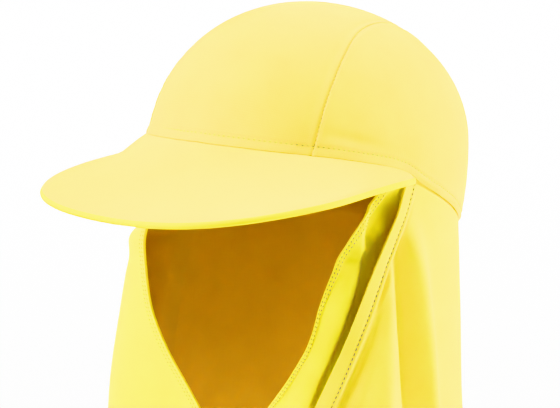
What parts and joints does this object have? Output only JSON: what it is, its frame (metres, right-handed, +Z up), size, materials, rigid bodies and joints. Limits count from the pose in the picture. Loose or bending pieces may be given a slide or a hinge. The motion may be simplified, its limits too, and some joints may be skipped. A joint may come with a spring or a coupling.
{
  "type": "legionnaire cap",
  "caption": "Cloth sun cap with a rounded crown, a stiff peak, a long neck flap and a chin panel that leaves a V-shaped face opening.",
  "frame": {"origin": "centre of the head opening at the height of the crown's edge beside the ears, where a head holds the cap", "axes": "+Z up as the cap is worn, -Y to the front where the peak points, +X to the wearer's left"},
  "size_m": [0.204, 0.2769, 0.287],
  "materials": {
    "crown_cloth": "smooth matt stretch knit",
    "peak_cloth": "smooth matt stretch knit over a stiff board",
    "flap_cloth": "smooth matt stretch knit"
  },
  "bodies": {
    "root": {"crown_centre": "crown_cloth", "crown_left": "crown_cloth", "crown_right": "crown_cloth", "peak": "peak_cloth", "flap": "flap_cloth", "chin_panel": "flap_cloth"}
  },
  "joints": []
}
